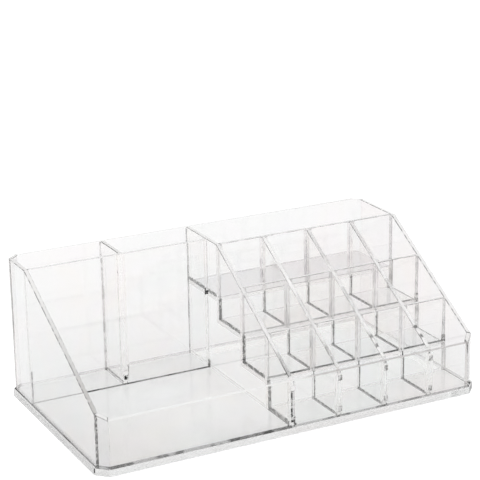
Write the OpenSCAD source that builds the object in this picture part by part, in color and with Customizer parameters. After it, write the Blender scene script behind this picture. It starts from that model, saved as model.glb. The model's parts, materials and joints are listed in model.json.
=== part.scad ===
// Clear vanity organizer: an open tray with two tall compartments behind it, beside a stepped rack of square
// slots with one long compartment at the back. Flat sheets, butted, mitred, half-lapped and tenoned together.
// Origin: middle of the base plate's underside. X to the right, Y to the back, Z up. Millimetres.

/* [Body] */
// Width over the two side panels
body_w = 237.5; // [210:0.5:300]
// Depth over the front and back panels
body_d = 132; // [120:1:180]
// Height of the back and of the level part of the sides, above the base plate
wall_h = 81; // [72:0.5:110]
// Height of the front panel, above the base plate
front_h = 27.3; // [22:0.1:36]
// Length that each cut corner takes from the two sides it joins
corner_cut = 5.5; // [4:0.1:10]

/* [Sheet] */
// Thickness of the upright panels, the dividers and the shelves
panel_t = 2.5; // [2:0.1:3]
// Thickness of the base plate
base_t = 4; // [2:0.5:5]
// How far the base plate stands out past the walls
base_lip = 1.5; // [1:0.5:4]

/* [Rack] */
// Clear width of one slot
slot_w = 27.6; // [22:0.1:32]
// Clear depth of one slot
slot_d = 27.3; // [22:0.1:32]
// Rise from one row's floor to the next
row_rise = 17; // [12:0.5:22]
// Rise from the rear row's floor to the floor of the long back compartment
back_rise = 13.3; // [8:0.1:20]

/* [Tall compartments] */
// Clear depth of the two tall compartments behind the tray
tall_d = 25.6; // [20:0.1:40]
// Clear width of the left one
left_tall_w = 56; // [40:0.5:60]

/* [Joints] */
// Height of one tab
tab_h = 3; // [2:0.5:5]
// Distance from a tab to the upper or lower edge of the panel it goes through
tab_inset = 2.8; // [2:0.1:5]
// Play on each side of a lap or a tab
joint_play = 0.1; // [0.05:0.05:0.3]
// Width of the ledge that the base plate leaves inside the walls round its opening
ledge_w = 1.5; // [0.5:0.5:4]

/* [Hidden] */

columns = 4;
rows = 3;
overrun = 1;

clear_sheet = [0.93, 0.93, 0.95, 0.55];
clear_inner = [0.90, 0.92, 0.94, 0.55];
clear_floor = [0.84, 0.85, 0.87, 0.7];

// The walls' outer and inner faces
right_x = body_w / 2;
left_x = -right_x;
back_y = body_d / 2;
front_y = -back_y;
inner_right_x = right_x - panel_t;
inner_left_x = left_x + panel_t;
inner_back_y = back_y - panel_t;
inner_front_y = front_y + panel_t;
wall_top = base_t + wall_h;
front_top = base_t + front_h;

// The rack, measured from the right side panel and from the front panel
rack_w = columns * slot_w + (columns - 1) * panel_t;
rack_x = inner_right_x - rack_w;
rack_side_x = rack_x - panel_t;
back_floor_z = base_t + (rows - 1) * row_rise + back_rise;
function column_x(column) = rack_x + column * (slot_w + panel_t);
function divider_x(column) = column_x(column) - panel_t;
function row_y(row) = inner_front_y + row * (slot_d + panel_t);
function riser_y(row) = row_y(row) - panel_t;
function floor_z(row) = base_t + row * row_rise;

// The tall compartments, measured from the back panel and from the left side panel
tray_back_y = inner_back_y - tall_d - panel_t;
rear_divider_x = inner_left_x + left_tall_w;

// The sloping rims start at the front panel's top. In the rack they rise to the upper riser, on the left side to the
// tray's rear panel.
rack_rim_end_y = riser_y(rows);
left_rim_end_y = tray_back_y;
rack_rim_slope = (wall_top - front_top) / (rack_rim_end_y - front_y);
function rim_z(y) = min(wall_top, front_top + (y - front_y) * rack_rim_slope);

// Half-laps: a riser is slotted down to this height and a divider is slotted up to it
function lap_z(row) = (floor_z(row) + rim_z(riser_y(row))) / 2;

// Undersides of the tabs: two in the front panel for each upright of the rack, one low down for the rear divider
front_tab_z = [base_t + tab_inset, front_top - tab_inset - tab_h];
rear_tab_z = [base_t + tab_inset];

// Corners: each of the eight upright joints is mitred at half the turn between its two sheets
mitre_angle = 22.5;
mitre = panel_t * tan(mitre_angle);
corner_w = corner_cut * sqrt(2);
// A cut corner grows by this share of the distance that its outline is moved out
cut_growth_share = 2 - sqrt(2);

// Outline of the body seen from above, moved out by grow, or in where grow is below zero
module body_outline(grow = 0) {
    w = body_w / 2 + grow;
    d = body_d / 2 + grow;
    cut = corner_cut + grow * cut_growth_share;
    polygon([
        [-w + cut, -d], [w - cut, -d], [w, -d + cut], [w, d - cut],
        [w - cut, d], [-w + cut, d], [-w, d - cut], [-w, -d + cut]
    ]);
}

// Sheet standing on the base plate, mitred at both ends, with its outer face on the X axis
module mitred_sheet(length, height) {
    translate([0, 0, base_t]) linear_extrude(height)
        polygon([[0, 0], [length, 0], [length - mitre, panel_t], [mitre, panel_t]]);
}

// Sheet parallel to the sides, from an outline drawn in Y and Z, with its left face at x
module upright_across_x(x) {
    translate([x, 0, 0]) rotate([90, 0, 90]) linear_extrude(panel_t) children();
}

// Sheet parallel to the front, from an outline drawn in X and Z, with its front face at y
module upright_across_y(y) {
    translate([0, y + panel_t, 0]) rotate([90, 0, 0]) linear_extrude(panel_t) children();
}

// Everything under a rim that slopes as far back as end_y, to cut the outer sheets to it
module under_rim(end_y) {
    translate([left_x - overrun, 0, 0]) rotate([90, 0, 90]) linear_extrude(body_w + 2 * overrun)
        polygon([
            [front_y - overrun, 0], [back_y + overrun, 0], [back_y + overrun, wall_top],
            [end_y, wall_top], [front_y, front_top], [front_y - overrun, front_top]
        ]);
}

// Tabs of an upright, one at each height, through a panel whose front face is at y and a little into the upright
module tabs(y, heights) {
    for (z = heights) translate([y, z]) square([2 * panel_t, tab_h]);
}

// Holes through a panel whose front face is at y, for the tabs of an upright whose left face is at x
module tab_holes(x, y, heights) {
    for (z = heights) translate([x - joint_play, y - overrun, z - joint_play])
        cube([panel_t + 2 * joint_play, panel_t + 2 * overrun, tab_h + 2 * joint_play]);
}

module base_plate() {
    color(clear_floor) difference() {
        linear_extrude(base_t) body_outline(base_lip);
        translate([0, 0, -overrun]) linear_extrude(base_t + 2 * overrun) intersection() {
            body_outline(-panel_t - ledge_w);
            translate([rack_x + ledge_w, row_y(1) + ledge_w]) square([body_w, body_d]);
        }
    }
}

module front_panel() {
    color(clear_sheet) difference() {
        translate([left_x + corner_cut, front_y, 0]) mitred_sheet(body_w - 2 * corner_cut, front_h);
        for (column = [0 : columns - 1]) tab_holes(divider_x(column), front_y, front_tab_z);
    }
}

module back_panel() {
    color(clear_sheet) translate([right_x - corner_cut, back_y, 0]) rotate(180)
        mitred_sheet(body_w - 2 * corner_cut, wall_h);
}

module left_side_panel() {
    color(clear_sheet) intersection() {
        translate([left_x, back_y - corner_cut, 0]) rotate(-90) mitred_sheet(body_d - 2 * corner_cut, wall_h);
        under_rim(left_rim_end_y);
    }
}

module right_side_panel() {
    color(clear_sheet) intersection() {
        translate([right_x, front_y + corner_cut, 0]) rotate(90) mitred_sheet(body_d - 2 * corner_cut, wall_h);
        under_rim(rack_rim_end_y);
    }
}

// Strip that closes one cut corner; the front ones follow their side's rim down to the front panel
module corner_strip(x, y, turn, end_y) {
    color(clear_sheet) intersection() {
        translate([x, y, 0]) rotate(turn) mitred_sheet(corner_w, wall_h);
        under_rim(end_y);
    }
}

module rack_side_panel() {
    color(clear_inner) upright_across_x(rack_side_x) {
        polygon([
            [inner_front_y, base_t], [inner_back_y, base_t], [inner_back_y, wall_top],
            [rack_rim_end_y, wall_top], [inner_front_y, rim_z(inner_front_y)]
        ]);
        tabs(front_y, front_tab_z);
    }
}

module tray_rear_panel() {
    color(clear_inner) difference() {
        upright_across_y(tray_back_y)
            translate([inner_left_x, base_t]) square([rack_side_x - inner_left_x, wall_h]);
        tab_holes(rear_divider_x, tray_back_y, rear_tab_z);
    }
}

module rear_divider() {
    color(clear_inner) upright_across_x(rear_divider_x) {
        translate([tray_back_y + panel_t, base_t]) square([tall_d, wall_h]);
        tabs(tray_back_y, rear_tab_z);
    }
}

// Wall behind a row; it stands on that row's floor and is slotted from above where the dividers cross it
module riser(row) {
    bottom = floor_z(row - 1);
    top = rim_z(riser_y(row));
    color(clear_inner) upright_across_y(riser_y(row)) difference() {
        translate([rack_x, bottom]) square([rack_w, top - bottom]);
        if (row < rows) for (column = [1 : columns - 1])
            translate([divider_x(column) - joint_play, lap_z(row)])
                square([panel_t + 2 * joint_play, top - lap_z(row) + overrun]);
    }
}

// Floor sheet of the rack, from front_edge to back_edge, with its upper face at top_z
module shelf(front_edge, back_edge, top_z) {
    color(clear_floor) translate([0, 0, top_z - panel_t]) linear_extrude(panel_t) intersection() {
        body_outline(-panel_t);
        translate([rack_x, front_edge]) square([rack_w, back_edge - front_edge]);
    }
}

// Stepped divider: its foot follows the rows' floors, its top follows the rim, its tabs go through the front panel
module column_divider(column) {
    foot = [for (row = [0 : rows - 1]) each [
        [row_y(row), floor_z(row)],
        [row < rows - 1 ? row_y(row + 1) : rack_rim_end_y, floor_z(row)]
    ]];
    color(clear_inner) upright_across_x(divider_x(column)) {
        difference() {
            polygon(concat(foot, [[rack_rim_end_y, wall_top], [inner_front_y, rim_z(inner_front_y)]]));
            for (row = [1 : rows - 1]) translate([riser_y(row) - joint_play, 0])
                square([panel_t + 2 * joint_play, lap_z(row)]);
        }
        tabs(front_y, front_tab_z);
    }
}

base_plate();
front_panel();
back_panel();
left_side_panel();
right_side_panel();
corner_strip(left_x, front_y + corner_cut, -45, left_rim_end_y);  // front_left_corner_strip
corner_strip(right_x - corner_cut, front_y, 45, rack_rim_end_y);  // front_right_corner_strip
corner_strip(right_x, back_y - corner_cut, 135, rack_rim_end_y);  // rear_right_corner_strip
corner_strip(left_x + corner_cut, back_y, -135, left_rim_end_y);  // rear_left_corner_strip
rack_side_panel();
tray_rear_panel();
rear_divider();
riser(3);  // upper_riser
riser(2);  // middle_riser
riser(1);  // lower_riser
shelf(row_y(rows), inner_back_y, back_floor_z);  // upper_shelf
shelf(row_y(2), row_y(3), floor_z(2));  // middle_shelf
shelf(row_y(1), row_y(2), floor_z(1));  // lower_shelf
column_divider(1);  // left_column_divider
column_divider(2);  // centre_column_divider
column_divider(3);  // right_column_divider
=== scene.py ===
# Clear vanity organizer: every sheet, its edges and the joints, on a plain pale floor.
import json
import math
import bpy
from mathutils import Matrix, Vector

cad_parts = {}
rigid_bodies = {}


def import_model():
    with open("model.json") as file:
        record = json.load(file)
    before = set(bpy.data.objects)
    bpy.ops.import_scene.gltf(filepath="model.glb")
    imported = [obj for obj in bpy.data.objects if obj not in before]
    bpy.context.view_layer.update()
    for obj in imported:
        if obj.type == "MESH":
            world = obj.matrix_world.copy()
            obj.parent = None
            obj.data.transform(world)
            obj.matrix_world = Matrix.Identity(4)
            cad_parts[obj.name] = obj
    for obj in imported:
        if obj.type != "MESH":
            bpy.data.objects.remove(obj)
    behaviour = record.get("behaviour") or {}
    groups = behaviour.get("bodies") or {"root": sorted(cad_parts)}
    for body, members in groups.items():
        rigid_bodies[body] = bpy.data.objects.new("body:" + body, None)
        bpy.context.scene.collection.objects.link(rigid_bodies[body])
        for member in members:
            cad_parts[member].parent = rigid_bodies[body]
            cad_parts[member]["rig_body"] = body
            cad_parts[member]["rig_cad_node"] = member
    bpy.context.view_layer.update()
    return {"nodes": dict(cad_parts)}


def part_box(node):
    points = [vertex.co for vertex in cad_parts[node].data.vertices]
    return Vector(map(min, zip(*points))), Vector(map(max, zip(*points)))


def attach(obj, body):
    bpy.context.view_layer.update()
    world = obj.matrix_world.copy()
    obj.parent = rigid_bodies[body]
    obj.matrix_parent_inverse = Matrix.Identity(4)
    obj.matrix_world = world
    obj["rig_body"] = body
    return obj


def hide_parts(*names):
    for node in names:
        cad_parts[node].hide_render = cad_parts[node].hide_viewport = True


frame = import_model()
print("stage: frame loaded,", len(frame["nodes"]), "nodes")

mm = 0.001


def deselectAll():
    for thing in bpy.context.selected_objects:
        thing.select_set(False)


def makeActive(piece):
    deselectAll()
    piece.select_set(True)
    bpy.context.view_layer.objects.active = piece


def addNode(tree, kind, place, **values):
    node = tree.nodes.new(kind)
    node.location = place
    for key, value in values.items():
        if key in node.inputs:
            node.inputs[key].default_value = value
        else:
            setattr(node, key, value)
    return node


# Sockets of a Mix node that blends colours: its share, its two colours and the blend
mixShare, mixFirst, mixSecond, mixBlend = 0, 6, 7, 2


def addColourMix(tree, place, **values):
    return addNode(tree, "ShaderNodeMix", place, data_type="RGBA", **values)


def setRamp(node, stops):
    ramp = node.color_ramp
    while len(ramp.elements) > 1:
        ramp.elements.remove(ramp.elements[-1])
    ramp.elements[0].position, ramp.elements[0].color = stops[0]
    for place, colour in stops[1:]:
        ramp.elements.new(place).color = colour
    return node


def newGroup(name, inputs, outputs):
    group = bpy.data.node_groups.new(name, "ShaderNodeTree")
    for way, sockets in (("INPUT", inputs), ("OUTPUT", outputs)):
        for socketName, kind in sockets:
            group.interface.new_socket(socketName, in_out=way, socket_type="NodeSocket" + kind)
    enter = addNode(group, "NodeGroupInput", (-800, 0))
    leave = addNode(group, "NodeGroupOutput", (500, 0))
    return group, enter, leave


# Faint rainbow drift of moulding stress, laid over a clear colour
stressDrift = {
    "detail": 2.0, "roughness": 0.45, "twist": 1.2,
    "rainbow": [(0.30, (1.0, 0.90, 0.93, 1)), (0.42, (1.0, 0.97, 0.88, 1)), (0.50, (0.98, 0.97, 0.98, 1)),
                (0.60, (0.93, 1.0, 0.94, 1)), (0.72, (0.90, 0.94, 1.0, 1))],
}


def makeStressTint():
    d = stressDrift
    group, enter, leave = newGroup(
        "stressTint", [("Vector", "Vector"), ("Clear", "Color"), ("Strength", "Float"), ("Scale", "Float")],
        [("Color", "Color")])
    drift = addNode(group, "ShaderNodeTexNoise", (-600, 100),
                    Detail=d["detail"], Roughness=d["roughness"], Distortion=d["twist"])
    rainbow = setRamp(addNode(group, "ShaderNodeValToRGB", (-400, 100)), d["rainbow"])
    blend = addColourMix(group, (100, 0), blend_type="MULTIPLY")
    link = group.links.new
    link(enter.outputs["Vector"], drift.inputs["Vector"])
    link(enter.outputs["Scale"], drift.inputs["Scale"])
    link(drift.outputs["Fac"], rainbow.inputs["Fac"])
    link(enter.outputs["Strength"], blend.inputs[mixShare])
    link(enter.outputs["Clear"], blend.inputs[mixFirst])
    link(rainbow.outputs["Color"], blend.inputs[mixSecond])
    link(blend.outputs[mixBlend], leave.inputs["Color"])
    return group


# Slight haze and flow waves of a polished clear surface
polishWear = {"hazeScale": 60.0, "hazeDetail": 3.0, "hazeFrom": 0.35, "hazeTo": 0.7,
              "flowScale": 22.0, "flowDetail": 1.0, "flowTwist": 0.6}


def makePolish():
    w = polishWear
    group, enter, leave = newGroup(
        "polish", [("Vector", "Vector"), ("Least", "Float"), ("Most", "Float")],
        [("Roughness", "Float"), ("Height", "Float")])
    haze = addNode(group, "ShaderNodeTexNoise", (-600, 150), Scale=w["hazeScale"], Detail=w["hazeDetail"])
    spread = addNode(group, "ShaderNodeMapRange", (-300, 150))
    spread.inputs["From Min"].default_value = w["hazeFrom"]
    spread.inputs["From Max"].default_value = w["hazeTo"]
    flow = addNode(group, "ShaderNodeTexNoise", (-600, -150),
                   Scale=w["flowScale"], Detail=w["flowDetail"], Distortion=w["flowTwist"])
    link = group.links.new
    link(enter.outputs["Vector"], haze.inputs["Vector"])
    link(enter.outputs["Vector"], flow.inputs["Vector"])
    link(haze.outputs["Fac"], spread.inputs["Value"])
    link(enter.outputs["Least"], spread.inputs["To Min"])
    link(enter.outputs["Most"], spread.inputs["To Max"])
    link(spread.outputs["Result"], leave.inputs["Roughness"])
    link(flow.outputs["Fac"], leave.inputs["Height"])
    return group


# Patches of painted dark shade and light that break a line up
linePatches = {"detail": 3.0, "roughness": 0.6, "edge": 0.04}


def makeBrokenLine():
    p = linePatches
    group, enter, leave = newGroup(
        "brokenLine",
        [("Vector", "Vector"), ("Dark", "Color"), ("Light", "Color"), ("Scale", "Float"), ("Share", "Float")],
        [("Color", "Color")])
    patches = addNode(group, "ShaderNodeTexNoise", (-600, 100), Detail=p["detail"], Roughness=p["roughness"])
    cut = addNode(group, "ShaderNodeMapRange", (-350, 100))
    edge = addNode(group, "ShaderNodeMath", (-550, -150), operation="ADD")
    edge.inputs[1].default_value = p["edge"]
    blend = addColourMix(group, (100, 0))
    link = group.links.new
    link(enter.outputs["Vector"], patches.inputs["Vector"])
    link(enter.outputs["Scale"], patches.inputs["Scale"])
    link(patches.outputs["Fac"], cut.inputs["Value"])
    link(enter.outputs["Share"], cut.inputs["From Min"])
    link(enter.outputs["Share"], edge.inputs[0])
    link(edge.outputs[0], cut.inputs["From Max"])
    link(cut.outputs["Result"], blend.inputs[mixShare])
    link(enter.outputs["Dark"], blend.inputs[mixFirst])
    link(enter.outputs["Light"], blend.inputs[mixSecond])
    link(blend.outputs[mixBlend], leave.inputs["Color"])
    return group


# Painted shade: a sheet or rim painted darker towards one end of the part
def makePaintedShadeFade():
    group, enter, leave = newGroup(
        "paintedShadeFade",
        [("Vector", "Vector"), ("Way", "Vector"), ("Start", "Float"), ("Stop", "Float"),
         ("Clear", "Color"), ("Deep", "Color")],
        [("Color", "Color")])
    across = addNode(group, "ShaderNodeVectorMath", (-600, 0), operation="DOT_PRODUCT")
    spread = addNode(group, "ShaderNodeMapRange", (-350, 0), interpolation_type="SMOOTHSTEP")
    blend = addColourMix(group, (0, 0))
    link = group.links.new
    link(enter.outputs["Vector"], across.inputs[0])
    link(enter.outputs["Way"], across.inputs[1])
    link(enter.outputs["Start"], spread.inputs["From Min"])
    link(enter.outputs["Stop"], spread.inputs["From Max"])
    link(across.outputs["Value"], spread.inputs["Value"])
    link(spread.outputs["Result"], blend.inputs[mixShare])
    link(enter.outputs["Deep"], blend.inputs[mixFirst])
    link(enter.outputs["Clear"], blend.inputs[mixSecond])
    link(blend.outputs[mixBlend], leave.inputs["Color"])
    return group


paintedShadeFade = makePaintedShadeFade()
stressTint = makeStressTint()
polish = makePolish()
brokenLine = makeBrokenLine()
flowDepth = 0.0004  # height of the flow waves, in metres


# What all the plastics share: how clear they are, their index and their polish
def startPlastic(name, look):
    material = bpy.data.materials.new(name)
    material.use_nodes = True
    tree = material.node_tree
    shader = tree.nodes["Principled BSDF"]
    shader.inputs["Transmission Weight"].default_value = 1.0 - look.get("frost", 0.0)
    shader.inputs["IOR"].default_value = look["ior"]
    where = addNode(tree, "ShaderNodeTexCoord", (-900, 0))
    shine = addNode(tree, "ShaderNodeGroup", (-500, -150), node_tree=polish)
    shine.inputs["Least"].default_value, shine.inputs["Most"].default_value = look["polish"]
    tree.links.new(where.outputs["Object"], shine.inputs["Vector"])
    tree.links.new(shine.outputs["Roughness"], shader.inputs["Roughness"])
    return material, tree, shader, where.outputs["Object"], shine


def clearPlastic(name, look):
    material, tree, shader, where, shine = startPlastic(name, look)
    tint = addNode(tree, "ShaderNodeGroup", (-500, 150), node_tree=stressTint)
    tint.inputs["Clear"].default_value = (*look["clear"], 1)
    tint.inputs["Strength"].default_value = look["tint"]
    tint.inputs["Scale"].default_value = look["tintScale"]
    bump = addNode(tree, "ShaderNodeBump", (-250, -300), Strength=look["flow"], Distance=flowDepth)
    link = tree.links.new
    if "deep" in look:
        fade = addNode(tree, "ShaderNodeGroup", (-700, 150), node_tree=paintedShadeFade)
        for key, value in zip(("Way", "Start", "Stop"), look["fade"]):
            fade.inputs[key].default_value = value
        fade.inputs["Clear"].default_value = (*look["clear"], 1)
        fade.inputs["Deep"].default_value = (*look["deep"], 1)
        link(where, fade.inputs["Vector"])
        link(fade.outputs["Color"], tint.inputs["Clear"])
    link(where, tint.inputs["Vector"])
    link(tint.outputs["Color"], shader.inputs["Base Color"])
    link(shine.outputs["Height"], bump.inputs["Height"])
    link(bump.outputs["Normal"], shader.inputs["Normal"])
    return material


def jointPlastic(name, look):
    material, tree, shader, where = startPlastic(name, look)[:4]
    line = addNode(tree, "ShaderNodeGroup", (-500, 150), node_tree=brokenLine)
    line.inputs["Dark"].default_value = (*look["dark"], 1)
    line.inputs["Light"].default_value = (*look["light"], 1)
    line.inputs["Scale"].default_value = look["scale"]
    line.inputs["Share"].default_value = look["share"]
    tree.links.new(where, line.inputs["Vector"])
    tree.links.new(line.outputs["Color"], shader.inputs["Base Color"])
    return material


# Finishes that several looks start from: index 1.49 is acrylic, and 1.0 lets light straight through
broadFace = {"tint": 0.15, "tintScale": 14.0, "polish": (0.0, 0.03), "flow": 0.04, "ior": 1.49}
sideFace = {"tint": 0.2, "tintScale": 18.0, "polish": (0.0, 0.03), "flow": 0.05, "ior": 1.49}
shelfFace = {"tint": 0.15, "tintScale": 20.0, "polish": (0.02, 0.06), "flow": 0.05, "ior": 1.49}
sawnRim = {"tint": 0.12, "tintScale": 60.0, "polish": (0.20, 0.30), "flow": 0.05, "ior": 1.49, "frost": 0.85}
mitreShadeFace = {"tint": 0.1, "tintScale": 60.0, "polish": (0.0, 0.02), "flow": 0.0, "ior": 1.0}
# Base finishes of the painted shade lines on the beads, edges and corners
paintedShadeLine = {"polish": (0.1, 0.25), "ior": 1.4}
slotShadeLine = {**paintedShadeLine, "scale": 450.0}
footShadeLine = {**paintedShadeLine, "scale": 60.0, "share": 0.45}

# Every sheet is the same clear plastic, and its clear colour holds painted shade: darker the more shade the
# sheet shows, most on the back, the far side, the upper shelf and the rear rim. A fade is painted shade too,
# and runs from deep at its first place to clear at its second, along its way
looks = {
    "frontSheet": {**broadFace, "clear": (0.980, 0.980, 0.979)},
    "backSheet": {**broadFace, "clear": (0.875, 0.869, 0.873)},
    "sideSheet": {**sideFace, "clear": (0.915, 0.908, 0.911)},
    "farSheet": {**sideFace, "clear": (0.865, 0.850, 0.856)},
    "cornerSheet": {**sideFace, "clear": (0.95, 0.945, 0.948)},
    "innerSheet": {**sideFace, "clear": (0.977, 0.976, 0.976), "tint": 0.13, "tintScale": 26.0},
    "shelfSheet": {**shelfFace, "clear": (0.962, 0.960, 0.962)},
    "upperShelf": {**shelfFace, "clear": (0.880, 0.865, 0.878), "polish": (0.04, 0.08)},
    "baseSheet": {**broadFace, "clear": (0.985, 0.983, 0.984), "deep": (0.850, 0.852, 0.853),
                  "fade": ((1, 1, 0), -0.17, -0.02), "tintScale": 12.0, "polish": (0.10, 0.16), "flow": 0.03},
    "rimEdge": {"clear": (0.995, 0.991, 0.990), "tint": 0.12, "tintScale": 60.0, "polish": (0.04, 0.10),
                "flow": 0.05, "ior": 1.49},
    "rimTop": {**sawnRim, "clear": (0.985, 0.980, 0.978)},
    "rimLeft": {**sawnRim, "clear": (0.975, 0.97, 0.965), "deep": (0.60, 0.59, 0.58),
                "fade": ((1, 1, 0), -0.175, -0.09)},
    "plinthEdge": {"clear": (0.965, 0.965, 0.965), "tint": 0.1, "tintScale": 20.0, "polish": (0.0, 0.02),
                   "flow": 0.0, "ior": 1.49},
    "rimFront": {**sawnRim, "clear": (0.985, 0.980, 0.978), "deep": (0.66, 0.64, 0.64),
                 "fade": ((-1, 0, 0), -0.012, -0.002)},
    "rimRear": {**sawnRim, "clear": (0.82, 0.81, 0.805)},
    # Painted shade: grey tints on the mitre faces, for the grey lines the mitres show
    "mitreShadePale": {**mitreShadeFace, "clear": (0.90, 0.89, 0.89)},
    "mitreShadeDeep": {**mitreShadeFace, "clear": (0.66, 0.65, 0.65)},
    "mitreShade": {**mitreShadeFace, "clear": (0.960, 0.955, 0.955)},
    "cove": {"clear": (0.995, 0.992, 0.992), "tint": 0.12, "tintScale": 60.0, "polish": (0.0, 0.02),
             "flow": 0.0, "ior": 1.49},
}
# Painted shade: the dark patches of these beads, rim lines, mitre lines and corner facets stand in for the
# dark lines that the clear plastic's joints, mitres, rims and corners show by refraction and reflection
jointLooks = {
    "jointDark": {**slotShadeLine, "dark": (0.0, 0.0, 0.0), "light": (0.92, 0.92, 0.91), "share": 0.50,
                  "frost": 1.0},
    "jointMid": {**slotShadeLine, "dark": (0.10, 0.10, 0.11), "light": (0.88, 0.87, 0.87), "share": 0.48,
                 "frost": 0.9},
    "jointPale": {**paintedShadeLine, "dark": (0.85, 0.84, 0.85), "light": (0.97, 0.96, 0.96), "scale": 160.0,
                  "share": 0.45},
    "postMid": {**paintedShadeLine, "dark": (0.30, 0.30, 0.29), "light": (0.92, 0.91, 0.91), "scale": 600.0,
                "share": 0.47, "frost": 0.7},
    "accent": {**paintedShadeLine, "dark": (0.30, 0.29, 0.29), "light": (0.97, 0.96, 0.96), "scale": 500.0,
               "share": 0.45},
    "postPale": {**paintedShadeLine, "dark": (0.62, 0.61, 0.61), "light": (0.84, 0.83, 0.83), "scale": 200.0,
                 "share": 0.45},
    "footLine": {**footShadeLine, "dark": (0.09, 0.09, 0.09), "light": (0.34, 0.34, 0.34)},
    "facetDark": {**paintedShadeLine, "dark": (0.06, 0.06, 0.06), "light": (0.50, 0.50, 0.50), "scale": 300.0,
                  "share": 0.58, "frost": 1.0},
    "footMid": {**footShadeLine, "dark": (0.22, 0.22, 0.22), "light": (0.54, 0.54, 0.54), "share": 0.42},
    "footPale": {**footShadeLine, "dark": (0.38, 0.38, 0.38), "light": (0.66, 0.66, 0.66)},
    "mitreLine": {"dark": (0.18, 0.18, 0.18), "light": (0.90, 0.90, 0.89), "scale": 350.0, "share": 0.50,
                  "polish": (0.1, 0.25), "ior": 1.49, "frost": 0.7},
    "rimLine": {"dark": (0.42, 0.41, 0.41), "light": (0.93, 0.92, 0.92), "scale": 120.0, "share": 0.50,
                "polish": (0.05, 0.15), "ior": 1.49},
}
plastics = {name: clearPlastic(name, look) for name, look in looks.items()}
plastics.update({name: jointPlastic(name, look) for name, look in jointLooks.items()})
print("stage: materials made,", len(plastics))

left, right, front, back, up = (-1, 0, 0), (1, 0, 0), (0, -1, 0), (0, 1, 0), (0, 0, 1)
# The way each sheet's broad faces look. The corner strips look along the two slants
acrossX, acrossY, flat = (1, 0, 0), (0, 1, 0), (0, 0, 1)
slantA, slantB = (1, 1, 0), (1, -1, 0)
sheets = {
    "base_plate": (flat, "baseSheet", "clear_base"),
    "front_panel": (acrossY, "frontSheet", "clear_outer_sheet"),
    "back_panel": (acrossY, "backSheet", "clear_outer_sheet"),
    "left_side_panel": (acrossX, "sideSheet", "clear_outer_sheet"),
    "right_side_panel": (acrossX, "farSheet", "clear_outer_sheet"),
    "front_left_corner_strip": (slantA, "cornerSheet", "clear_outer_sheet"),
    "front_right_corner_strip": (slantB, "cornerSheet", "clear_outer_sheet"),
    "rear_left_corner_strip": (slantB, "backSheet", "clear_outer_sheet"),
    "rear_right_corner_strip": (slantA, "backSheet", "clear_outer_sheet"),
    "rack_side_panel": (acrossX, "innerSheet", "clear_inner_sheet"),
    "tray_rear_panel": (acrossY, "innerSheet", "clear_inner_sheet"),
    "rear_divider": (acrossX, "innerSheet", "clear_inner_sheet"),
    "upper_riser": (acrossY, "innerSheet", "clear_inner_sheet"),
    "middle_riser": (acrossY, "innerSheet", "clear_inner_sheet"),
    "lower_riser": (acrossY, "innerSheet", "clear_inner_sheet"),
    "upper_shelf": (flat, "upperShelf", "clear_shelf"),
    "middle_shelf": (flat, "shelfSheet", "clear_shelf"),
    "lower_shelf": (flat, "shelfSheet", "clear_shelf"),
    "left_column_divider": (acrossX, "innerSheet", "clear_inner_sheet"),
    "centre_column_divider": (acrossX, "innerSheet", "clear_inner_sheet"),
    "right_column_divider": (acrossX, "innerSheet", "clear_inner_sheet"),
}


def low(nodeName, axis):
    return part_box(nodeName)[0]["xyz".index(axis)]


def high(nodeName, axis):
    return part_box(nodeName)[1]["xyz".index(axis)]


frontTop, wallTop = high("front_panel", "z"), high("back_panel", "z")
outFront = low("front_panel", "y")
insideFront, insideBack = high("front_panel", "y"), low("back_panel", "y")
leftSlopeEnd, rackSlopeEnd = low("tray_rear_panel", "y"), low("upper_riser", "y")
slopeEnds = {"left_side_panel": leftSlopeEnd, "front_left_corner_strip": leftSlopeEnd}
sheetShape = {"hairline": 0.03 * mm, "merge": 0.001 * mm, "flatAngle": 0.5, "rounding": 0.3 * mm,
              "roundingSteps": 2, "rimNear": 0.15 * mm, "tabNear": 1.0 * mm}


# True on the free upper edge of a sheet, level or sloping
def onRim(nodeName, point, ownTop):
    slopeEnd = slopeEnds.get(nodeName, rackSlopeEnd)
    slopeTop = min(wallTop, frontTop + (point.y - outFront) * (wallTop - frontTop) / (slopeEnd - outFront))
    near = sheetShape["rimNear"]
    return abs(point.z - ownTop) < near or abs(point.z - slopeTop) < near


# Merges the node's loose triangles to flat faces and draws them in by a hairline
def cleanSheet():
    bpy.ops.object.mode_set(mode="EDIT")
    bpy.ops.mesh.select_all(action="SELECT")
    bpy.ops.mesh.remove_doubles(threshold=sheetShape["merge"])
    bpy.ops.mesh.dissolve_limited(angle_limit=math.radians(sheetShape["flatAngle"]))
    bpy.ops.mesh.select_all(action="SELECT")
    bpy.ops.transform.shrink_fatten(value=-sheetShape["hairline"], use_even_offset=True)
    bpy.ops.mesh.select_mode(type="EDGE")
    bpy.ops.mesh.select_all(action="DESELECT")
    bpy.ops.object.mode_set(mode="OBJECT")


def bevelSelected(size, steps):
    bpy.ops.object.mode_set(mode="EDIT")
    bpy.ops.mesh.bevel(offset=size, segments=steps, affect="EDGES")
    bpy.ops.object.mode_set(mode="OBJECT")


def roundRim(sheet, nodeName):
    ownTop = high(nodeName, "z")
    corners = sheet.data.vertices
    for edge in sheet.data.edges:
        edge.select = all(onRim(nodeName, corners[i].co, ownTop) for i in edge.vertices)
    bevelSelected(sheetShape["rounding"], sheetShape["roundingSteps"])


# The plate's outermost corners are cut to facets painted with short dark strokes, painted shade for how they
# catch the light
plateCorner = {"size": 0.5 * mm, "reach": 1.0 * mm, "widest": 8.0 * mm * mm}


def cutPlateCorners(sheet):
    reach = plateCorner["reach"]
    ends = low("base_plate", "x") + reach, high("base_plate", "x") - reach
    for edge in sheet.data.edges:
        first, second = (sheet.data.vertices[i].co for i in edge.vertices)
        upright = abs(first.z - second.z) > reach
        edge.select = upright and (first.x < ends[0] or first.x > ends[1])
    bevelSelected(plateCorner["size"], 1)


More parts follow.
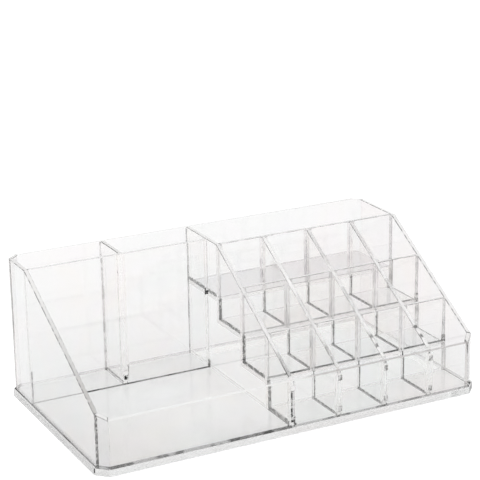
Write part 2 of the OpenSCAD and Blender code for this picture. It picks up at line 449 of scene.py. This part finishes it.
# The painted shade line keeps off the borders of the rack side panel's front end, and joins on to its lower
# tab
rackEnd = {"inset": 0.6 * mm, "tabFrom": 7.0 * mm, "tabTo": 10.5 * mm, "least": 20 * mm * mm}

# How far a face has to look one way, as the cosine of the angle to that way
looking = {"straight": 0.98, "nearly": 0.95, "half": 0.5, "rising": 0.3, "hardly": 0.1, "level": 0.05,
           "mitre": (0.3, 0.45)}
rims = {"left_side_panel": "rimLeft", "right_side_panel": "rimTop", "front_panel": "rimFront"}
extraLooks = ["rimEdge", "rimTop", "rimLeft", "rimFront", "rimLine", "plinthEdge", "mitreLine", "mitreShade",
              "mitreShadePale", "mitreShadeDeep", "rimRear", "jointDark", "facetDark", "postMid"]


def insetRackEnd(sheet):
    bpy.ops.object.mode_set(mode="EDIT")
    bpy.ops.mesh.select_mode(type="FACE")
    bpy.ops.mesh.select_all(action="DESELECT")
    bpy.ops.object.mode_set(mode="OBJECT")
    for face in sheet.data.polygons:
        face.select = face.normal.y < -looking["straight"] and face.area > rackEnd["least"]
    bpy.ops.object.mode_set(mode="EDIT")
    bpy.ops.mesh.inset(thickness=rackEnd["inset"])
    bpy.ops.object.mode_set(mode="OBJECT")


# Painted shade: the small corner facets and the front right facet get dark strokes
def plateEdgeLook(face):
    if face.area < plateCorner["widest"]:
        return "jointDark"
    half = looking["half"]
    return "facetDark" if face.normal.x > half and face.normal.y < -half else "plinthEdge"


# The finish of a standing sheet's rims, ends and joints, or None where its plain one stays
def standingLook(nodeName, thinWay, slotName, face, sideways):
    normal = face.normal
    level, half = looking["level"], looking["half"]
    facesFront = normal.y < -looking["straight"]
    levelRim = abs(normal.x) < level and (thinWay != acrossY or abs(normal.y) < level)
    bordered = nodeName not in ("back_panel", "tray_rear_panel")
    # Painted shade: the top rims at the rear of the left side get a darker colour
    if normal.z > looking["straight"] and nodeName in ("left_side_panel", "rear_left_corner_strip"):
        return "rimRear"
    if normal.z > looking["rising"] and levelRim:
        return rims.get(nodeName, "rimTop" if slotName == "clear_outer_sheet" else "rimEdge")
    # Painted shade: the rounded rims' slanting faces carry dark broken lines
    if normal.z > level and looking["hardly"] < sideways < looking["nearly"] and bordered:
        return "mitreLine" if nodeName in ("left_side_panel", "right_side_panel") else "rimLine"
    # Painted shade: the front left strip's back end carries a dark broken line
    if nodeName == "front_left_corner_strip" and normal.y > half and sideways < half:
        return "mitreLine"
    # Painted shade: mitre faces get a grey tint, with paler and deeper ones on the front right corner strip
    if looking["mitre"][0] < sideways < looking["mitre"][1] and abs(normal.z) < level:
        if nodeName == "front_right_corner_strip":
            return "mitreShadeDeep" if normal.y > half else "mitreShadePale"
        return "mitreShade"
    # Painted shade: the front ends of the divider tabs carry dark broken lines
    if nodeName.endswith("divider") and facesFront:  # the ends of its tabs
        panelFront = low("tray_rear_panel" if nodeName == "rear_divider" else "front_panel", "y")
        if face.center.y < panelFront + sheetShape["tabNear"]:
            return "jointDark" if nodeName == "rear_divider" else "postMid"
    # Painted shade: the rack side panel's front end and lower tab carry a dark broken line
    if nodeName == "rack_side_panel" and facesFront:
        if face.select or rackEnd["tabFrom"] < face.center.z < rackEnd["tabTo"]:
            return "jointDark"
    return None


def dressSheet(nodeName, thinWay, lookName, slotName):
    makeActive(frame["nodes"][nodeName])
    bpy.ops.object.duplicate()
    sheet = bpy.context.active_object
    sheet.name = nodeName + "_sheet"
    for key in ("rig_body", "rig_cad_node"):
        del sheet[key]
    lying = nodeName.endswith(("plate", "shelf"))
    cleanSheet()
    if not lying and nodeName != "front_panel":
        roundRim(sheet, nodeName)
    if nodeName == "base_plate":
        cutPlateCorners(sheet)
    if nodeName == "rack_side_panel":
        insetRackEnd(sheet)
    names = [lookName] + extraLooks
    sheet.data.materials.clear()
    for name in names:
        sheet.data.materials.append(plastics[name])
    way = Vector(thinWay).normalized()
    for face in sheet.data.polygons:
        sideways = abs(face.normal.dot(way))
        name = lookName if sideways > looking["straight"] else "rimEdge"
        if nodeName == "base_plate" and sideways < looking["hardly"]:
            name = plateEdgeLook(face)
        elif not lying:
            name = standingLook(nodeName, thinWay, slotName, face, sideways) or name
        face.material_index = names.index(name)
    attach(sheet, "root")
    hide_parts(nodeName)


for nodeName, choice in sheets.items():
    dressSheet(nodeName, *choice)
print("stage: sheets dressed,", len(sheets))

# Places that the joints run along, read from the nodes
floorZ = high("base_plate", "z")
outLeft, outRight = low("left_side_panel", "x"), high("right_side_panel", "x")
outBack = high("back_panel", "y")
insideLeft, insideRight = high("left_side_panel", "x"), low("right_side_panel", "x")
rackLeft, rackInside = low("rack_side_panel", "x"), high("rack_side_panel", "x")
trayBack, tallFront = low("tray_rear_panel", "y"), high("tray_rear_panel", "y")
dividerLeft, dividerRight = low("rear_divider", "x"), high("rear_divider", "x")
shelves = ["lower_shelf", "middle_shelf", "upper_shelf"]
risers = ["lower_riser", "middle_riser", "upper_riser"]
columns = ["left_column_divider", "centre_column_divider", "right_column_divider"]
floors = [floorZ] + [high(shelf, "z") for shelf in shelves]
rowFront = [insideFront] + [high(riser, "y") for riser in risers]
rowBack = [low(riser, "y") for riser in risers] + [insideBack]
belowRim = 0.5 * mm  # how far below a rim an upright bead ends

# Hollow and freeFrom are shares of a bead's size, and clearOf keeps it off the sheets it joins
beadShape = {"clearOf": 0.05 * mm, "hollow": 0.92, "fullHollow": 0.6,
             "fullLooks": ("jointDark", "jointMid", "footLine"), "steps": 3, "profile": 0.22,
             "freeFrom": 0.49}


# One bead in the angle between two faces: a bar along the corner, its free edge hollowed to a cove
def makeBead(start, end, openA, openB, size, lookName):
    b = beadShape
    hollow = b["fullHollow"] if lookName in b["fullLooks"] else b["hollow"]
    start, end = Vector(start), Vector(end)
    openA, openB = Vector(openA).normalized(), Vector(openB).normalized()
    along = end - start
    if along.cross(openA).dot(openB) < 0:
        openA, openB = openB, openA
    middle = (start + end) / 2 + (openA + openB) * (b["clearOf"] + size / 2)
    deselectAll()
    bpy.ops.mesh.primitive_cube_add(size=1)
    bead = bpy.context.active_object
    turn = Matrix([along, openA * size, openB * size]).transposed().to_4x4()
    bead.data.transform(Matrix.Translation(middle) @ turn)
    free = middle.dot(openA) + size * b["freeFrom"], middle.dot(openB) + size * b["freeFrom"]
    for edge in bead.data.edges:
        ends = [bead.data.vertices[i].co for i in edge.vertices]
        edge.select = all(point.dot(openA) > free[0] and point.dot(openB) > free[1] for point in ends)
    for face in bead.data.polygons:
        face.select = False
    bpy.ops.object.mode_set(mode="EDIT")
    bpy.ops.mesh.select_mode(type="EDGE")
    bpy.ops.mesh.bevel(offset=size * hollow, segments=b["steps"], profile=b["profile"], affect="EDGES")
    bpy.ops.object.mode_set(mode="OBJECT")
    bead.data.materials.append(plastics[lookName])
    return bead


def joinBeads(name, lines):
    beads = [makeBead(*line) for line in lines]
    deselectAll()
    for bead in beads:
        bead.select_set(True)
    bpy.context.view_layer.objects.active = beads[0]
    bpy.ops.object.join()
    joined = bpy.context.active_object
    joined.name = name
    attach(joined, "root")


# Foot of the outer walls, inside and outside, as beads whose dark tones are painted shade. The front line is
# paler up to midTo
wallBeads = {"front": 1.25 * mm, "thin": 0.95 * mm, "rack": 0.9 * mm, "side": 0.5 * mm, "midTo": -42.0 * mm}


def makeWallBeads():
    f, z = wallBeads, floorZ
    cutFront, cutLeft = low("left_side_panel", "y"), low("front_panel", "x")
    cutBack, cutRight = high("left_side_panel", "y"), high("front_panel", "x")
    joinBeads("wall_foot_beads", [
        ((outLeft, cutFront, z), (cutLeft, outFront, z), (-1, -1, 0), up, f["front"], "footMid"),
        ((cutLeft, outFront, z), (f["midTo"], outFront, z), front, up, f["front"], "footMid"),
        ((f["midTo"], outFront, z), (rackLeft, outFront, z), front, up, f["front"], "footLine"),
        ((rackLeft, outFront, z), (cutRight, outFront, z), front, up, f["rack"], "footPale"),
        ((outRight, cutFront, z), (cutRight, outFront, z), (1, -1, 0), up, f["rack"], "jointDark"),
        ((outLeft, cutBack, z), (cutLeft, outBack, z), (-1, 1, 0), up, f["thin"], "jointDark"),
        ((cutLeft, outBack, z), (cutRight, outBack, z), back, up, f["side"], "jointPale"),
        ((outLeft, cutFront, z), (outLeft, cutBack, z), left, up, f["side"], "footLine"),
        ((outRight, cutFront, z), (outRight, cutBack, z), right, up, f["side"], "jointPale"),
        ((insideLeft, cutFront, z), (insideLeft, trayBack, z), right, up, f["side"], "jointPale"),
    ])


# Foot and upright joints of the two tall compartments, as beads whose dark tones are painted shade. Their
# front foot is pale over paleShare of its length
tallBeads = {"foot": 0.6 * mm, "pale": 0.5 * mm, "wide": 0.9 * mm, "cove": 1.4 * mm, "coveStart": 3.0 * mm,
             "lowPost": 20.0 * mm, "paleShare": 0.29}


def makeTallBeads():
    f, z, top = tallBeads, floorZ, wallTop - belowRim
    paleEnd = insideLeft + f["paleShare"] * (rackLeft - insideLeft)
    coveZ, lowPostTop = z + f["coveStart"], z + f["lowPost"]
    joinBeads("tall_compartment_beads", [
        ((insideLeft, trayBack, z), (paleEnd, trayBack, z), front, up, f["pale"], "footPale"),
        ((paleEnd, trayBack, z), (rackLeft, trayBack, z), front, up, f["foot"], "footLine"),
        ((insideLeft, insideBack, z), (dividerLeft, insideBack, z), front, up, f["pale"], "jointPale"),
        ((dividerRight, insideBack, z), (rackLeft, insideBack, z), front, up, f["pale"], "jointPale"),
        ((dividerLeft, tallFront, z), (dividerLeft, insideBack, z), left, up, f["foot"], "jointPale"),
        ((dividerRight, tallFront, z), (dividerRight, insideBack, z), right, up, f["foot"], "jointMid"),
        ((insideLeft, trayBack, z), (insideLeft, trayBack, lowPostTop), right, front, f["wide"], "jointMid"),
        ((dividerLeft, insideBack, z), (dividerLeft, insideBack, top), left, front, f["wide"], "postPale"),
        ((rackLeft, insideBack, z), (rackLeft, insideBack, top), left, front, f["pale"], "footPale"),
        ((dividerLeft, tallFront, coveZ), (dividerLeft, tallFront, top), left, back, f["cove"], "cove"),
        ((dividerRight, tallFront, coveZ), (dividerRight, tallFront, top), right, back, f["cove"], "cove"),
        ((rackLeft, tallFront, coveZ), (rackLeft, tallFront, top), left, back, f["cove"], "cove"),
    ])


# Joints of the rack, on its side panel, the dividers and the right side: along each floor, up each riser
# and in the corners behind the front panel, as beads whose dark tones are painted shade. An accent is a short
# piece in another tone
rackBeads = {"stair": 1.7 * mm, "divider": 0.6 * mm, "thin": 0.3 * mm, "riser": 1.4 * mm, "sill": 1.0 * mm,
             "cove": 1.3 * mm, "coveStart": 1.0 * mm, "post": 1.8 * mm, "accent": 1.1 * mm,
             "accentUp": 5.0 * mm, "accentDown": 1.2 * mm}


def makeRackBeads():
    f = rackBeads
    lines = []

    def add(*line):
        lines.append(line)

    rows = len(risers)
    faces = [(rackInside, right, f["stair"], "jointDark", rows + 1)]  # this joint runs on to the back
    for column in columns:
        faces.append((low(column, "x"), left, f["thin"], "jointPale", rows))
        faces.append((high(column, "x"), right, f["divider"], "jointDark", rows))
    faces.append((insideRight, left, f["thin"], "footPale", rows))
    for x, way, size, look, floorCount in faces:
        atRight = x == insideRight
        post, postLook = (f["post"], "postPale") if atRight else (size, look)
        for row in range(floorCount):
            y, ground = rowBack[row], floors[row]
            add((x, rowFront[row], ground), (x, y, ground), way, up, size, look)
            if row < rows:
                above, top = floors[row + 1], high(risers[row], "z") - belowRim
                add((x, y, ground), (x, y, above), way, front, post, postLook)
                if atRight:
                    add((x, y, above), (x, y, above + f["accentUp"]), way, front, post, "accent")
                    above += f["accentUp"]
                add((x, y, above), (x, y, top), way, front, f["riser"], "jointPale")
    columnFaces = [x for column in columns for x in (low(column, "x"), high(column, "x"))]
    edges = [rackInside] + columnFaces + [insideRight]
    for start, end in zip(edges[0::2], edges[1::2]):
        for row, look in ((1, "footLine"), (2, "footPale")):
            y, ground = rowFront[row], floors[row]
            add((start, y, ground), (end, y, ground), back, up, f["sill"], look)
    y, ground = rowFront[rows], floors[rows]
    add((rackInside, y, ground), (insideRight, y, ground), back, up, f["thin"], "footPale")
    top = frontTop - belowRim
    coveZ = floorZ + f["coveStart"]
    for x, way in zip(columnFaces, [left, right] * len(columns)):
        add((x, insideFront, coveZ), (x, insideFront, top), way, back, f["cove"], "cove")
    add((rackLeft, insideFront, floorZ), (rackLeft, insideFront, top), left, back, f["cove"], "cove")
    add((rackInside, insideFront, floorZ), (rackInside, insideFront, top), right, back, f["thin"], "jointMid")
    foot, head = ground - f["accentDown"], ground + f["accentDown"]
    add((rackLeft, tallFront, foot), (rackLeft, tallFront, head), left, back, f["accent"], "jointDark")
    head = floorZ + f["accentUp"]
    add((rackLeft, trayBack, floorZ), (rackLeft, trayBack, head), left, front, f["accent"], "postMid")
    joinBeads("rack_joint_beads", lines)


makeWallBeads()
makeTallBeads()
makeRackBeads()
print("stage: joint beads made")

# The lifts are what the floor glows with for rays that see it, directly or through and in the plastic
studio = {"floorSize": 12.0, "floorDrop": 0.02 * mm, "floorColour": (0.36, 0.36, 0.36, 1),
          "floorRoughness": 0.9, "seenLift": 0.84, "throughLift": 0.76}


def makeFloor():
    deselectAll()
    bpy.ops.mesh.primitive_plane_add(size=studio["floorSize"], location=(0, 0, -studio["floorDrop"]))
    floor = bpy.context.active_object
    floor.name = "floor"
    material = bpy.data.materials.new("paleFloor")
    material.use_nodes = True
    tree = material.node_tree
    shader = tree.nodes["Principled BSDF"]
    shader.inputs["Base Color"].default_value = studio["floorColour"]
    shader.inputs["Roughness"].default_value = studio["floorRoughness"]
    shader.inputs["Specular IOR Level"].default_value = 0.0
    shader.inputs["Emission Color"].default_value = (1, 1, 1, 1)
    ray = addNode(tree, "ShaderNodeLightPath", (-700, -200))
    seen = addNode(tree, "ShaderNodeMath", (-500, -100), operation="MULTIPLY")
    seen.inputs[1].default_value = studio["seenLift"]
    through = addNode(tree, "ShaderNodeMath", (-500, -300), operation="MAXIMUM")
    dimmed = addNode(tree, "ShaderNodeMath", (-350, -300), operation="MULTIPLY")
    dimmed.inputs[1].default_value = studio["throughLift"]
    lift = addNode(tree, "ShaderNodeMath", (-200, -200), operation="MAXIMUM")
    link = tree.links.new
    link(ray.outputs["Is Camera Ray"], seen.inputs[0])
    link(ray.outputs["Is Transmission Ray"], through.inputs[0])
    link(ray.outputs["Is Glossy Ray"], through.inputs[1])
    link(through.outputs[0], dimmed.inputs[0])
    link(seen.outputs[0], lift.inputs[0])
    link(dimmed.outputs[0], lift.inputs[1])
    link(lift.outputs[0], shader.inputs["Emission Strength"])
    floor.data.materials.append(material)


# What a mirrored ray sees, from the front panel's side of the room (0) to the back's (1)
mirroredRoom = [(0.0, (0.25, 0.25, 0.26, 1)), (0.5, (0.7, 0.7, 0.7, 1)), (0.7, (1, 1, 1, 1))]


def makeWorld():
    world = bpy.data.worlds.new("studio")
    bpy.context.scene.world = world
    world.use_nodes = True
    tree = world.node_tree
    tree.nodes.clear()
    out = addNode(tree, "ShaderNodeOutputWorld", (600, 0))
    backdrop = addNode(tree, "ShaderNodeBackground", (300, 0))
    where = addNode(tree, "ShaderNodeTexCoord", (-900, 0))
    split = addNode(tree, "ShaderNodeSeparateXYZ", (-700, 0))
    depth = setRamp(addNode(tree, "ShaderNodeValToRGB", (-300, 100)), mirroredRoom)
    aim = addNode(tree, "ShaderNodeMath", (-500, 0), operation="MULTIPLY_ADD")  # from -1..1 to 0..1
    aim.inputs[1].default_value = 0.5
    aim.inputs[2].default_value = 0.5
    ray = addNode(tree, "ShaderNodeLightPath", (-500, -250))
    mirrored = addNode(tree, "ShaderNodeMath", (-250, -250), operation="SUBTRACT", use_clamp=True)
    choose = addColourMix(tree, (50, 0))
    choose.inputs[mixFirst].default_value = (1, 1, 1, 1)
    link = tree.links.new
    link(where.outputs["Generated"], split.inputs[0])
    link(split.outputs["Y"], aim.inputs[0])
    link(aim.outputs[0], depth.inputs["Fac"])
    link(ray.outputs["Is Glossy Ray"], mirrored.inputs[0])
    link(ray.outputs["Is Transmission Ray"], mirrored.inputs[1])
    link(mirrored.outputs[0], choose.inputs[mixShare])
    link(depth.outputs["Color"], choose.inputs[mixSecond])
    link(choose.outputs[mixBlend], backdrop.inputs["Color"])
    link(backdrop.outputs[0], out.inputs["Surface"])


# Fitted to the photo together with the part's sizes
cameraView = {
    "place": (-0.42195, -0.8224, 0.3932),
    "right": (0.8876, -0.4604, -0.0148),
    "down": (-0.1544, -0.2671, -0.9512),
    "forward": (0.4339, 0.8466, -0.3082),
    "lens": 127.5,
    "sensor": 36.0,
    "nearest": 0.01,
    "farthest": 50,
}


def makeCamera():
    data = bpy.data.cameras.new("camera")
    camera = bpy.data.objects.new("camera", data)
    bpy.context.scene.collection.objects.link(camera)
    data.lens, data.sensor_width = cameraView["lens"], cameraView["sensor"]
    data.clip_start, data.clip_end = cameraView["nearest"], cameraView["farthest"]
    axes = [Vector(cameraView["right"]), -Vector(cameraView["down"]), -Vector(cameraView["forward"])]
    turn = Matrix([axis.normalized() for axis in axes]).transposed().to_4x4()
    camera.matrix_world = Matrix.Translation(cameraView["place"]) @ turn
    bpy.context.scene.camera = camera


makeFloor()
makeWorld()
makeCamera()
lightBounces = 96  # light crosses dozens of clear faces, and fewer bounces leave black patches
scene = bpy.context.scene
scene.view_settings.view_transform = "Standard"
scene.cycles.max_bounces = lightBounces
scene.cycles.transmission_bounces = lightBounces
scene.cycles.glossy_bounces = lightBounces
print("stage: studio and camera made")
